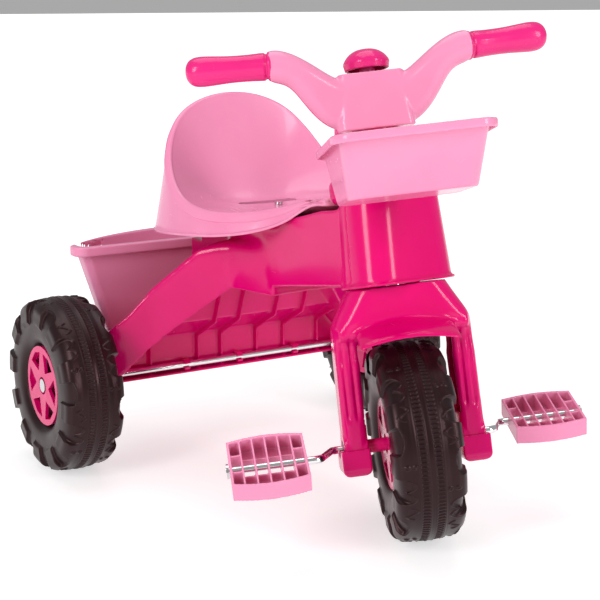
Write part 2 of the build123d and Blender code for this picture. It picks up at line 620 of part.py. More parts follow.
def main_body():
    """Blown body: head block, spine, rear arch with the axle channel, and the bucket shelf."""
    back = WHEELBASE + ARCH_BACK
    spine = along_x(spine_face(), SPINE_HALF)
    spine_hollow = along_x(offset(spine_face(), -BODY_WALL), SPINE_HALF - BODY_WALL)
    low = TYRE_RADIUS - ARCH_FOOT
    arch = along_y(arch_front_face(), 0, back) & rise(arch_plan_face(), BIG)
    arch = arch & along_x(arch_side_face(0, low), BIG / 2)
    core = along_y(offset(arch_front_face(), -BODY_WALL), 0, back - BODY_WALL)
    core = core & rise(offset(arch_plan_face(), -BODY_WALL), BIG)
    core = core & along_x(arch_side_face(BODY_WALL, low + BODY_WALL), BIG / 2)
    core = core - along_y(offset(recess_face(), BODY_WALL), -10, back)
    recess = along_y(recess_face(), -10, back) & along_x(arch_side_face(BODY_WALL, -BIG), BIG / 2)
    body = (spine + arch) - spine_hollow - core - recess
    lip_half = arch_half - ARCH_SKIN + 1
    lip = Pos(0, back, low) * Box(2 * lip_half, 17, SHELL, align=(Align.CENTER, Align.MAX, Align.MIN))
    body = body + lip
    shallow = along_x(arch_side_face(BODY_WALL + RIB_DEPTH, -BIG), BIG / 2)
    for x in RIB_PLACES:
        slab = Pos(x * arch_half, 0, low) * Box(SHELL, BIG * 2, BIG, align=UP)
        body = body + ((recess & slab) - shallow)
    shelf = Pos(0, back - 1, bucket_floor) * Box(2 * shelf_half, SHELF_DEPTH, 2 * SHELL,
                                                  align=(Align.CENTER, Align.MIN, Align.MAX))
    gusset = Pos(0, back - 1, bucket_floor - SHELL) * Box(BODY_WALL, SHELF_DEPTH - 15, 22,
                                                           align=(Align.CENTER, Align.MIN, Align.MAX))
    body = body + shelf + [Pos(x, 0, 0) * gusset for x in (-shelf_half + 12, 0, shelf_half - 12)]
    head = rear_half(column_loft(0.5) + column_flange()) + Pos(0, 0, head_w + HEAD_HEIGHT / 2) * Cylinder(
        HEAD_TUBE_RADIUS, HEAD_HEIGHT)
    body = body + headed * head
    middle = HEAD_HEIGHT - 2 * BUSH_LENGTH
    bore = Pos(0, 0, head_w + HEAD_HEIGHT / 2) * (Cylinder(BUSH_RADIUS, BIG)
                                                   + Cylinder(HEAD_TUBE_RADIUS - BODY_WALL, middle))
    body = body - headed * bore
    body = body - Pos(0, WHEELBASE, TYRE_RADIUS) * Rot(0, 90, 0) * Cylinder(REAR_AXLE_RADIUS, BIG)
    for y in seat_bolt_y:
        body = body - Pos(0, y, foot_z + PAN_RISE) * Cylinder(BOLT_RADIUS, 4 * BODY_WALL)
    finger_room = Box(2 * SLOT_HALF + 8, SLOT_WIDTH + 8, 4 * BODY_WALL)
    body = body - Pos(0, WHEELBASE - SLOT_BACK, foot_z + PAN_RISE) * finger_room
    for x in bucket_bolt_x:
        body = body - Pos(x, bucket_bolt_y, bucket_floor) * Cylinder(BOLT_RADIUS, 8 * SHELL)
    vent = Pos(0, WHEELBASE - 160, foot_z - 40) * Cylinder(3, 20)
    return body - vent


def axle_clips():
    """Three snap hooks that hold the axle in its channel."""
    hook = Rot(0, 90, 0) * (Cylinder(REAR_AXLE_RADIUS + SHELL, 7) - Cylinder(REAR_AXLE_RADIUS, 9))
    wall = ARCH_BACK - BODY_WALL
    behind = (Align.CENTER, Align.MAX, Align.CENTER)
    hook = hook & Pos(0, wall, 0) * Box(20, BIG, REAR_AXLE_RADIUS + 8, align=behind)
    hook = hook - Pos(0, -REAR_AXLE_RADIUS - 1, 0) * Box(20, 6, REAR_AXLE_RADIUS)
    return [Pos(x, WHEELBASE, TYRE_RADIUS) * hook for x in (-arch_half * 0.36, arch_half * 0.05, arch_half * 0.5)]


# ---- seat ----------------------------------------------------------------------------------------
def seat_plan():
    """Plan of the seat's skirt: round blunt back, narrow nose."""
    rear = WHEELBASE
    nose_y = world_of(0, head_w + HEAD_HEIGHT)[0] + 20
    with BuildSketch() as sk:
        with BuildLine():
            ThreePointArc((-SEAT_HALF, rear - 45), (0, rear + SEAT_BACK_OUT), (SEAT_HALF, rear - 45))
            Polyline((SEAT_HALF, rear - 45), (SEAT_HALF, rear - 175), (46, rear - 268), (44, nose_y),
                     (-44, nose_y), (-46, rear - 268), (-SEAT_HALF, rear - 175), (-SEAT_HALF, rear - 45))
        make_face()
        fillet(sk.vertices().filter_by(lambda p: abs(p.Y - rear + 175) < 1 or abs(p.Y - rear + 268) < 1), 50)
    return sk.sketch


def seat_lines():
    """Side view lines of the seat: skirt edge, underside and top of the pan, and rim."""
    rear = WHEELBASE
    pan = foot_z + PAN_RISE
    front = world_of(0, head_w + HEAD_HEIGHT)[0] + 20
    nose = [(front, foot_z + 76), (rear - 290, foot_z + 72), (rear - 250, foot_z + 61), (rear - 200, pan),
            (rear - 95, pan)]
    under = nose + [(rear - 60, pan + 5.5), (rear - 31.5, pan + 29), (rear - 14, pan + 70),
                    (rear - 3.9, pan + 135)]
    top = [(y, z + BODY_WALL) for y, z in nose]
    top += [(rear - 62, pan + 10), (rear - 36, pan + 31), (rear - 19, pan + 70), (rear - 8, pan + 135)]
    rim = [(front, foot_z + 84), (rear - 290, foot_z + 82), (rear - 250, foot_z + 71), (rear - 190, foot_z + 62),
           (rear - 135, foot_z + 59), (rear - 100, foot_z + 63), (rear - 70, foot_z + 77), (rear - 40, foot_z + 112),
           (rear - 18, foot_z + 152), (rear - 6, foot_z + SEAT_BACK_RISE), (rear + 12, foot_z + SEAT_BACK_RISE)]
    skirt = [(rear + 12, foot_z + SEAT_SKIRT - 3), (rear - 55, foot_z + SEAT_SKIRT - 1),
             (rear - 191, foot_z + SEAT_SKIRT + 12), (rear - 225, foot_z + SEAT_SKIRT + 22),
             (rear - 250, foot_z + 61), (rear - 290, foot_z + 72), (front, foot_z + 76)]
    return skirt, under, top, rim


def seat_solid():
    """Moulded seat: skirt, pan and round backrest, with the hand slot."""
    skirt, under, top, rim = seat_lines()
    plan = seat_plan()
    beyond = WHEELBASE + 20
    outer = rise(plan, BIG) & along_x(make_face(Polyline(*skirt, *rim, close=True)), BIG / 2)
    inner_plan = rise(offset(plan, -BODY_WALL), BIG)
    bowl = make_face(Polyline(*top, (beyond, top[-1][1] + 9), (beyond, BIG), (top[0][0], BIG), close=True))
    below = make_face(Polyline(*under[1:], (beyond, under[-1][1]), (beyond, 0), (under[1][0], 0), close=True))
    seat = outer - (inner_plan & along_x(bowl, BIG / 2)) - (inner_plan & along_x(below, BIG / 2))
    slot = Pos(0, WHEELBASE - SLOT_BACK, foot_z + PAN_RISE) * Box(2 * SLOT_HALF, SLOT_WIDTH, 30)
    slot = fillet(slot.edges().filter_by(Axis.Z), SLOT_WIDTH / 2 - 0.1)
    seat = seat - slot - headed * (Pos(0, 0, head_w) * Cylinder(COLLAR_RADIUS + 1.5, BIG))
    for y in seat_bolt_y:
        seat = seat - Pos(0, y, foot_z + PAN_RISE) * Cylinder(BOLT_RADIUS, 4 * BODY_WALL)
    return seat


# ---- bucket --------------------------------------------------------------------------------------
def crescent(half, front, rear, corner):
    """D-shaped plan, straight in front and bowed behind."""
    side = front + 26
    with BuildSketch() as sk:
        with BuildLine():
            Polyline((-half, side), (-half, front), (half, front), (half, side))
            ThreePointArc((half, side), (0, rear), (-half, side))
        make_face()
        fillet(sk.vertices(), corner)
    return sk.sketch


def bucket_walls(inset, low, high):
    """Tapered solid of the bucket between two heights."""
    front = WHEELBASE + BUCKET_FRONT + inset
    rear = WHEELBASE + BUCKET_REAR - inset
    floor = crescent(bucket_half - BUCKET_TAPER - inset, front + 7, rear - 32, 9)
    rim = crescent(bucket_half - inset, front, rear, 9)
    return loft([Pos(0, 0, low) * floor, Pos(0, 0, high) * rim])


def rear_bucket():
    top = foot_z + BUCKET_RISE
    outer = crescent(bucket_half + BUCKET_RIM, WHEELBASE + BUCKET_FRONT - BUCKET_RIM,
                     WHEELBASE + BUCKET_REAR + BUCKET_RIM, 14)
    rim = rise(Pos(0, 0, top - BUCKET_RIM_HEIGHT) * outer, BUCKET_RIM_HEIGHT)
    inner = crescent(bucket_half + BUCKET_RIM - SHELL, WHEELBASE + BUCKET_FRONT - BUCKET_RIM + SHELL,
                     WHEELBASE + BUCKET_REAR + BUCKET_RIM - SHELL, 12)
    rim = rim - rise(Pos(0, 0, top - BUCKET_RIM_HEIGHT) * inner, BUCKET_RIM_HEIGHT - SHELL)
    bucket = rim + bucket_walls(0, bucket_floor, top) - bucket_walls(SHELL, bucket_floor + SHELL, top + 0.01)
    for x in bucket_bolt_x:
        bucket = bucket - Pos(x, bucket_bolt_y, bucket_floor) * Cylinder(BOLT_RADIUS, 4 * SHELL)
    return bucket


# ---- fasteners -----------------------------------------------------------------------------------
def bolt(length):
    """Pan-head bolt, its shank down from the origin and its head above it."""
    head = Cylinder(BOLT_HEAD, SHELL, align=UP)
    shank = Cylinder(BOLT_RADIUS, length, align=DOWN)
    return head + shank


# ---- derived places ------------------------------------------------------------------------------
wheel = wheel_shell()
tilt = Rot(-RAKE, 0, 0) * Rot(0, 0, REST_TURN)
reach = -(tilt * wheel).bounding_box().min.Z
sin_rake = sin(radians(RAKE))
cos_rake = cos(radians(RAKE))
axle_w = (reach - AXLE_LEAD * cos(radians(REST_TURN)) * sin_rake) / cos_rake
foot_y = head_foot()
headed = Pos(0, foot_y, 0) * Rot(-RAKE, 0, 0)
steered = headed * Rot(0, 0, REST_TURN)
crown_w = axle_w + TYRE_RADIUS + CROWN_GAP
head_w = crown_w + CROWN_HEIGHT + HEAD_GAP
foot_z = world_of(0, head_w)[1]
collar_top = head_w + HEAD_HEIGHT + COLLAR_HEIGHT
bar_w = collar_top + NECK_TUBE_LENGTH
box_top = bar_w + BOX_HEIGHT
grip_w = bar_w + 74.5
leg_inner = TYRE_WIDTH / 2 + TYRE_GAP
leg_outer = leg_inner + LEG_WIDTH
pedal_inner = leg_outer + CRANK_OUT + CRANK_FLARE + PEDAL_START
pedal_outer = pedal_inner + PEDAL_WIDTH
arch_half = REAR_TRACK / 2 - TYRE_WIDTH / 2 - ARCH_GAP
bucket_half = arch_half + BUCKET_OVERHANG
bucket_floor = foot_z + BUCKET_RISE - BUCKET_DEPTH
shelf_half = bucket_half - BUCKET_TAPER - 25
seat_bolt_y = (WHEELBASE - 185, WHEELBASE - 120)
bucket_bolt_x = (-70, 70)
bucket_bolt_y = WHEELBASE + 62
axle_half = REAR_TRACK / 2 + WEB_HALF + 1 + END_PLAY + WASHER_THICK + NUT_LENGTH - 2


def build_chassis():
    parts["main_body"] = main_body()
    parts["column_cover"] = headed * column_cover()
    parts["steering_bush_lower"] = headed * stem_bush(head_w)
    parts["steering_bush_upper"] = headed * stem_bush(head_w + HEAD_HEIGHT - BUSH_LENGTH)
    parts["steering_collar"] = headed * steering_collar()
    parts["rear_axle"] = Pos(0, WHEELBASE, TYRE_RADIUS) * rod(REAR_AXLE_RADIUS, -axle_half, axle_half)
    parts["axle_clips"] = axle_clips()
    parts["seat"] = seat_solid()
    parts["seat_bolts"] = [Pos(0, y, foot_z + PAN_RISE + BODY_WALL) * bolt(14) for y in seat_bolt_y]
    parts["rear_bucket"] = rear_bucket()
    parts["bucket_bolts"] = [Pos(x, bucket_bolt_y, bucket_floor + SHELL) * bolt(14) for x in bucket_bolt_x]


def build_rear_wheels():
    for side, name in ((-1, "right"), (1, "left")):
        place = Pos(side * REAR_TRACK / 2, WHEELBASE, TYRE_RADIUS) * Rot(0, 0, 0 if side > 0 else 180)
        parts[f"rear_tyre_{name}"] = place * wheel
        parts[f"rear_hub_cap_{name}"] = place * hub_cap()
        parts[f"rear_inner_cap_{name}"] = place * Rot(0, 0, 180) * hub_cap()
        parts[f"rear_wheel_bush_{name}"] = place * wheel_bush(REAR_AXLE_RADIUS + RUN_FIT)
        inner = -REAR_TRACK / 2 + arch_half
        out = WEB_HALF + 1 + END_PLAY
        parts[f"axle_spacer_{name}"] = place * tube(SPACER_RADIUS, REAR_AXLE_RADIUS, inner, -out)
        parts[f"axle_washer_{name}"] = place * tube(SPACER_RADIUS, REAR_AXLE_RADIUS, out, out + WASHER_THICK)
        nut = rod(NUT_RADIUS, out + WASHER_THICK, out + WASHER_THICK + NUT_LENGTH)
        parts[f"axle_nut_{name}"] = place * (nut - rod(REAR_AXLE_RADIUS, 0, axle_half - REAR_TRACK / 2))


def build_front_wheel():
    centre = steered * Pos(0, -AXLE_LEAD, axle_w)
    parts["front_tyre"] = centre * wheel
    parts["front_hub_cap_left"] = centre * hub_cap()
    parts["front_hub_cap_right"] = centre * Rot(0, 0, 180) * hub_cap()
    parts["front_wheel_core"] = centre * wheel_bush(CRANK_RADIUS)
    for side, name in ((-1, "right"), (1, "left")):
        sleeve = tube(CRANK_RADIUS + 3, CRANK_RADIUS, WEB_HALF + 1, leg_inner - END_PLAY)
        parts[f"front_spacer_{name}"] = centre * Rot(0, 0, 0 if side > 0 else 180) * sleeve
        spindle = centre * crank_turn * Pos(0, side * CRANK_ARM, 0)
        out = pedal_outer + 0.5
        cap = tube(CRANK_RADIUS + 3.5, CRANK_RADIUS, out, out + 2.5)
        parts[f"pedal_end_cap_{name}"] = spindle * Rot(0, 0, 0 if side > 0 else 180) * cap
        middle = Pos(side * (pedal_inner + PEDAL_WIDTH / 2), 0, 0)
        pedal_turn = Rot(PEDAL_TILT[name], 0, 0)
        parts[f"pedal_{name}"] = spindle * middle * crank_turn.inverse() * pedal_turn * pedal()
    parts["crank_axle"] = centre * crank_turn * crank_rod()


def build_front_end():
    parts["fork"] = steered * fork_solid()
    for side, name in ((-1, "right"), (1, "left")):
        parts[f"fork_cap_{name}"] = steered * fork_cap(side)
        x = side * (leg_inner + LEG_WIDTH / 2)
        sleeve = tube(BEARING_RADIUS, CRANK_RADIUS + RUN_FIT, x - LEG_WIDTH / 2, x + LEG_WIDTH / 2)
        parts[f"crank_bearing_{name}"] = steered * Pos(0, -AXLE_LEAD, axle_w) * sleeve
        parts[f"grip_{name}"] = steered * grip_place(side) * Rot(0, 0, 0 if side > 0 else 180) * grip()
    stem_low = head_w - STEM_SOCKET
    stem_high = bar_w + BOX_HEIGHT - 20
    stem = Cylinder(STEM_RADIUS, stem_high - stem_low, align=UP)
    parts["steering_stem"] = steered * Pos(0, 0, stem_low) * stem
    parts["handlebar_neck"] = steered * neck_tube()
    front, rear = handlebar_shells()
    parts["handlebar_front_shell"] = steered * front
    parts["handlebar_rear_shell"] = steered * rear
    parts["front_basket"] = steered * front_basket()
    parts["basket_bracket"] = steered * basket_bracket()
    dome, spring, bellows = horn_parts()
    parts["horn_button"] = steered * dome
    parts["horn_spring"] = steered * spring
    parts["horn_bellows"] = steered * bellows


def overall_box(shapes):
    """Lowest and highest corners of everything built."""
    boxes = [shape.bounding_box() for shape in shapes]
    low = [min(getattr(box.min, axis) for box in boxes) for axis in "XYZ"]
    high = [max(getattr(box.max, axis) for box in boxes) for axis in "XYZ"]
    return low, high


crank_turn = Rot(CRANK_DIP, 0, 0)

build_chassis()
build_rear_wheels()
build_front_wheel()
build_front_end()
solids = {name: Compound(shape if isinstance(shape, list) else shape.solids()) for name, shape in parts.items()}
low, high = overall_box(solids.values())
shift = Pos(-(low[0] + high[0]) / 2, -(low[1] + high[1]) / 2, -low[2])
os.makedirs("parts", exist_ok=True)
for name, shape in solids.items():
    export_step(shift * shape, f"parts/{name}.step")
print("box", [round(b - a, 1) for a, b in zip(low, high)], "shift", shift.position, "nodes", len(solids))
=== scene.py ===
import json
import math

import bmesh
import bpy
import numpy as np
from mathutils import Matrix, Vector

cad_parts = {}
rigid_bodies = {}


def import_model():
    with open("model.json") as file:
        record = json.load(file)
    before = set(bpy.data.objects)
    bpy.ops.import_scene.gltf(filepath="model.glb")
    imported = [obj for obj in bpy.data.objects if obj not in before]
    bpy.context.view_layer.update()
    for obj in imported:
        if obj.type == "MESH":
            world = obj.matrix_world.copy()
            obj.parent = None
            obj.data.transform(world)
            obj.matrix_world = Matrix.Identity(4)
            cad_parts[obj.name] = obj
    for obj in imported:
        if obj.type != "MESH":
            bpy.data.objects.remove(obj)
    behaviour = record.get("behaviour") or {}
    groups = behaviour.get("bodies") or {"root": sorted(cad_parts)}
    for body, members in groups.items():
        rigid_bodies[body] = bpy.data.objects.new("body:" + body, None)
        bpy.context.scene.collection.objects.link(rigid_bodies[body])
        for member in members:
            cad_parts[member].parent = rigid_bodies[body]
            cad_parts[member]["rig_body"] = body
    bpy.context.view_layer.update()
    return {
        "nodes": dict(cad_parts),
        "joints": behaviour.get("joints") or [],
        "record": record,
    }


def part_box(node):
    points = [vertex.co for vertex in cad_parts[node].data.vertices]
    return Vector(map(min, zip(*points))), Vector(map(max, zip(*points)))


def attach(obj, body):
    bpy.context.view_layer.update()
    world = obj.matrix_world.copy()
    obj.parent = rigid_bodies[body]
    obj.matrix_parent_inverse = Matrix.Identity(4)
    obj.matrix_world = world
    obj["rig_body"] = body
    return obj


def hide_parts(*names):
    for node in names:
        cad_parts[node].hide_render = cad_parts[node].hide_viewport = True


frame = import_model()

# Sizes are in millimetres and are turned into metres where a mesh is made.
MM = 0.001
joints = {joint["name"]: joint for joint in frame["joints"]}

# ---- driving sizes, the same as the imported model's ----------------------------------------------------
TYRE_RADIUS = 104.0
WELL_RADIUS = 50.0
WEB_HALF = 18.0
LUG_PITCH = 30.0
LEG_INNER = 48.6
LEG_WIDTH = 25.0
AXLE_LEAD = 5.2
AXLE_W = 104.0                  # the front axle's height in the steered frame
GRIP_LENGTH = 90.0
GRIP_RADIUS = 15.0
GRIP_RISE = 2.9                 # degrees up towards the grip's end
GRIP_SWEEP = 8.4                # degrees back towards the rider
GRIP_AROUND = 160
SEAT_NOSE = 63.0                # seat's front edge behind the steering axis
SEAT_RIM_BAND = 12.0
SEAT_LIP = 8.0                  # width of the rolled rim before the bowl begins
SEAT_WALL = 3.0
SLOT_HALF = 39.0
SLOT_WIDTH = 15.0
SLOT_BACK = 95.0                # hand slot in front of the rear axle
SLOT_RISE = 52.0                # and above the head's foot
SLOT_CUT_TALL = 40.0
PEDAL_TILT = {"left": 24.0, "right": 34.0}
PEDAL_RIB = 0.95                # half the thickness of a rib
PEDAL_COLUMNS = 6
PEDAL_VOXEL = 0.75
EDGE_ANGLE = 32.0               # degrees above which a CAD edge stays crisp
CUT_EDGE_ANGLE = 55.0
CUT_SHARE = 0.54                # share of a lug pitch that is cut away
RIB_PITCH = 2.5                 # degrees from one rib of the tread to the next


# ---- places, worked out from the joints ---------------------------------------------------------------
def mm(point):
    """A point of the frame, in millimetres."""
    return Vector(point) / MM


def frame_of(x_axis, z_axis, origin):
    """Placement matrix, in millimetres, from two axes and an origin."""
    x = Vector(x_axis).normalized()
    z = Vector(z_axis).normalized()
    y = z.cross(x)
    place = Matrix((x, y, z)).transposed().to_4x4()
    place.translation = origin
    return place


steer_axis = Vector(joints["steering_turn"]["axis"]).normalized()
steer_point = mm(joints["steering_turn"]["pos_m"])
wheel_axis = Vector(joints["front_wheel_spin"]["axis"]).normalized()
wheel_centre = mm(joints["front_wheel_spin"]["pos_m"])
steered = frame_of(wheel_axis, steer_axis, Vector((0, 0, 0)))
# the steered frame's origin lies on the steering axis, AXLE_W below the front axle's own height
axle_back = steered.to_3x3() @ Vector((0, -AXLE_LEAD, 0))
on_axis = wheel_centre - axle_back
steered.translation = on_axis - steer_axis * AXLE_W
front_wheel_place = frame_of(wheel_axis, steer_axis, wheel_centre)
rear_centre = {side: mm(joints[f"rear_wheel_{side}_spin"]["pos_m"]) for side in ("left", "right")}
rear_y = rear_centre["left"].y
foot_z = steer_point.z


# ---- mesh helpers --------------------------------------------------------------------------------------
def new_object(name, mesh, body, node_names, slot):
    """Link a finished mesh as a piece of the object, in place of CAD nodes."""
    piece = bpy.data.objects.new(name, mesh)
    bpy.context.scene.collection.objects.link(piece)
    piece.data.materials.clear()
    piece.data.materials.append(materials[slot])
    for polygon in piece.data.polygons:
        polygon.use_smooth = True
    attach(piece, body)
    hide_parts(*node_names)
    return piece


def grid_mesh(name, points, close_u, close_v):
    """Quad mesh over an array of points (rows, columns, 3) in millimetres."""
    rows, columns, _ = points.shape
    index = np.arange(rows * columns).reshape(rows, columns)
    u_next = np.roll(index, -1, axis=0)
    v_next = np.roll(index, -1, axis=1)
    both = np.roll(u_next, -1, axis=1)
    last_u = rows if close_u else rows - 1
    last_v = columns if close_v else columns - 1
    quads = np.stack([index, u_next, both, v_next], axis=-1)[:last_u, :last_v].reshape(-1, 4)
    mesh = bpy.data.meshes.new(name)
    mesh.from_pydata((points.reshape(-1, 3) * MM).tolist(), [], quads.tolist())
    mesh.update()
    return mesh


def placed(points, place):
    """Points moved by a placement matrix, both in millimetres."""
    matrix = np.array(place)
    return points @ matrix[:3, :3].T + matrix[:3, 3]


def baked(piece):
    """The piece's mesh with its modifiers applied, as a new mesh."""
    graph = bpy.context.evaluated_depsgraph_get()
    return bpy.data.meshes.new_from_object(piece.evaluated_get(graph))


def mesh_points(mesh):
    """All of a mesh's points, in millimetres."""
    points = np.empty(len(mesh.vertices) * 3)
    mesh.vertices.foreach_get("co", points)
    return points.reshape(-1, 3) / MM


def smoothed(mesh, weights, passes):
    """The mesh after a smoothing modifier, held back where weights are low."""
    work = bpy.data.objects.new("smooth_work", mesh)
    bpy.context.scene.collection.objects.link(work)
    soft = work.modifiers.new("soft", "SMOOTH")
    soft.factor = 0.5
    soft.iterations = passes
    if weights is not None:
        group = work.vertex_groups.new(name="blend")
        for level in range(1, 11):
            chosen = np.nonzero(np.round(weights * 10).astype(int) == level)[0]
            group.add(chosen.tolist(), level / 10, "REPLACE")
        soft.vertex_group = "blend"
    result = baked(work)
    bpy.data.objects.remove(work)
    return result


def softened(node, voxel, passes, name, slot, shape=None, blend=None, blend_passes=0):
    """A copy of a CAD node with every edge rounded off, as a moulded piece has them."""
    source = frame["nodes"][node]
    work = bpy.data.objects.new(name + "_work", source.data.copy())
    bpy.context.scene.collection.objects.link(work)
    remesh = work.modifiers.new("even", "REMESH")
    remesh.mode = "VOXEL"
    remesh.voxel_size = voxel * MM
    mesh = baked(work)
    if blend:
        mesh = smoothed(mesh, blend(mesh_points(mesh)), blend_passes)
    mesh = smoothed(mesh, None, passes)
    bpy.data.objects.remove(work)
    if shape:
        reshape(mesh, shape)
    return new_object(name, mesh, source["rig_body"], [node], slot)


def reshape(mesh, shape):
    """Move a mesh's vertices by shape(points, normals), both arrays, points in millimetres."""
    points = mesh_points(mesh)
    normals = np.empty(points.size, dtype=np.float32)
    mesh.vertex_normals.foreach_get("vector", normals)
    moved = shape(points, normals.reshape(-1, 3).astype(float))
    mesh.vertices.foreach_set("co", (moved * MM).reshape(-1))
    mesh.update()


def smooth_step(low, high, value):
    t = np.clip((value - low) / (high - low), 0, 1)
    return t * t * (3 - 2 * t)


def rounded_path(points, passes, closed=False):
    """Corner-cut a polyline into a smooth one."""
    path = np.array(points, dtype=float)
    for _ in range(passes):
        ahead = np.roll(path, -1, axis=0) if closed else path[1:]
        start = path if closed else path[:-1]
        near = start * 0.75 + ahead * 0.25
        far = start * 0.25 + ahead * 0.75
        cut = np.stack([near, far], axis=1).reshape(-1, path.shape[1])
        path = cut if closed else np.vstack([path[:1], cut, path[-1:]])
    return path


def resampled(path, count):
    """Evenly spaced points along a polyline."""
    steps = np.linalg.norm(np.diff(path, axis=0), axis=1)
    along = np.concatenate([[0], np.cumsum(steps)])
    wanted = np.linspace(0, along[-1], count)
    return np.stack([np.interp(wanted, along, path[:, k]) for k in range(path.shape[1])], axis=1)


# ---- materials -----------------------------------------------------------------------------------------
class Shader:
    """A small wrapper that adds nodes and links to one material."""

    def __init__(self, name):
        self.material = bpy.data.materials.new(name)
        self.material.use_nodes = True
        self.tree = self.material.node_tree
        self.bsdf = self.tree.nodes["Principled BSDF"]
        self.coords = self.tree.nodes.new("ShaderNodeTexCoord").outputs["Object"]

    def link(self, source, target):
        self.tree.links.new(source, target)

    def noise(self, scale, detail=4.0, rough=0.55, stretch=(1, 1, 1)):
        node = self.tree.nodes.new("ShaderNodeTexNoise")
        node.inputs["Scale"].default_value = scale
        node.inputs["Detail"].default_value = detail
        node.inputs["Roughness"].default_value = rough
        mapping = self.tree.nodes.new("ShaderNodeMapping")
        mapping.inputs["Scale"].default_value = stretch
        self.link(self.coords, mapping.inputs["Vector"])
        self.link(mapping.outputs["Vector"], node.inputs["Vector"])
        return node.outputs["Fac"]

    def ramp(self, source, low, high, out_low, out_high):
        node = self.tree.nodes.new("ShaderNodeMapRange")
        node.inputs["From Min"].default_value = low
        node.inputs["From Max"].default_value = high
        node.inputs["To Min"].default_value = out_low
        node.inputs["To Max"].default_value = out_high
        self.link(source, node.inputs["Value"])
        return node.outputs["Result"]

    def math(self, operation, first, second):
        node = self.tree.nodes.new("ShaderNodeMath")
        node.operation = operation
        self.link(first, node.inputs[0])
        self.link(second, node.inputs[1])
        return node.outputs["Value"]

    def multiply(self, first, second):
        return self.math("MULTIPLY", first, second)

    def add(self, first, second):
        return self.math("ADD", first, second)

    def mix(self, factor, first, second):
        node = self.tree.nodes.new("ShaderNodeMix")
        node.data_type = "RGBA"
        self.link(factor, node.inputs["Factor"])
        for socket, value in ((node.inputs[6], first), (node.inputs[7], second)):
            if isinstance(value, tuple):
                socket.default_value = (*value, 1)
            else:
                self.link(value, socket)
        return node.outputs[2]

    def edges(self, low, high):
        """How strongly a point stands on a convex edge."""
        geometry = self.tree.nodes.new("ShaderNodeNewGeometry")
        return self.ramp(geometry.outputs["Pointiness"], low, high, 0, 1)

    def bump(self, height, strength, distance):
        node = self.tree.nodes.new("ShaderNodeBump")
        node.inputs["Strength"].default_value = strength
        node.inputs["Distance"].default_value = distance
        self.link(height, node.inputs["Height"])
        self.link(node.outputs["Normal"], self.bsdf.inputs["Normal"])

    def set(self, **values):
        for key, value in values.items():
            self.bsdf.inputs[key.replace("_", " ")].default_value = value


def gloss_plastic(name, colour, deep, scuff, roughness, coat):
    """Moulded plastic: slow colour drift, cloudy gloss, orange-peel skin and lightly rubbed edges."""
    shader = Shader(name)
    drift = shader.ramp(shader.noise(9, 3), 0.35, 0.65, 0, 1)
    base = shader.mix(drift, deep, colour)
    rub = shader.multiply(shader.edges(0.52, 0.62), shader.ramp(shader.noise(60, 5), 0.45, 0.7, 0, 0.6))
    shader.link(shader.mix(rub, base, scuff), shader.bsdf.inputs["Base Color"])
    cloud = shader.ramp(shader.noise(26, 4), 0.3, 0.7, roughness * 0.8, roughness * 1.25)
    hair = shader.ramp(shader.noise(210, 2, 0.7, (1, 0.08, 1)), 0.62, 0.75, 0, 0.12)
    shader.link(shader.add(cloud, hair), shader.bsdf.inputs["Roughness"])
    shader.set(Coat_Weight=coat, Coat_Roughness=0.05, IOR=1.45, Specular_IOR_Level=0.26)
    peel = shader.add(shader.noise(420, 2), shader.multiply(shader.noise(38, 2), shader.noise(38, 2)))
    shader.bump(peel, 0.06, 0.0006)
    return shader.material


def tyre_plastic():
    """Satin black-brown plastic with dust in its grooves and paler worn blocks."""
    shader = Shader("tyre_black")
    drift = shader.ramp(shader.noise(14, 5), 0.3, 0.7, 0, 1)
    tone = shader.mix(drift, (0.0085, 0.0030, 0.0036), (0.014, 0.0062, 0.0070))
    dust = shader.multiply(shader.edges(0.5, 0.42), shader.ramp(shader.noise(120, 4), 0.4, 0.7, 0.1, 0.55))
    dusty = shader.mix(dust, tone, (0.022, 0.012, 0.012))
    worn = shader.multiply(shader.edges(0.52, 0.6), shader.ramp(shader.noise(75, 4), 0.4, 0.65, 0.1, 0.5))
    shader.link(shader.mix(worn, dusty, (0.045, 0.027, 0.029)), shader.bsdf.inputs["Base Color"])
    rough = shader.add(shader.ramp(shader.noise(33, 4), 0.3, 0.7, 0.27, 0.40), shader.ramp(dust, 0, 1, 0, 0.2))
    shader.link(rough, shader.bsdf.inputs["Roughness"])
    shader.set(Specular_IOR_Level=0.30, Specular_Tint=(1.0, 0.62, 0.66, 1))
    shader.bump(shader.add(shader.noise(900, 3), shader.noise(160, 3)), 0.12, 0.0005)
    return shader.material


def plated_steel(name, colour, roughness, stretch, flecks):
    """Plated metal with drawn streaks, faint stains and a cloudy shine."""
    shader = Shader(name)
    stain = shader.ramp(shader.noise(45, 5), 0.5, 0.75, 0, flecks)
    dull = tuple(0.55 * c for c in colour)
    shader.link(shader.mix(stain, colour, dull), shader.bsdf.inputs["Base Color"])
    streak = shader.ramp(shader.noise(380, 3, 0.6, stretch), 0.3, 0.7, roughness * 0.6, roughness * 1.6)
    shader.link(streak, shader.bsdf.inputs["Roughness"])
    shader.set(Metallic=1.0)
    shader.bump(shader.noise(500, 3, 0.6, stretch), 0.05, 0.0002)
    return shader.material


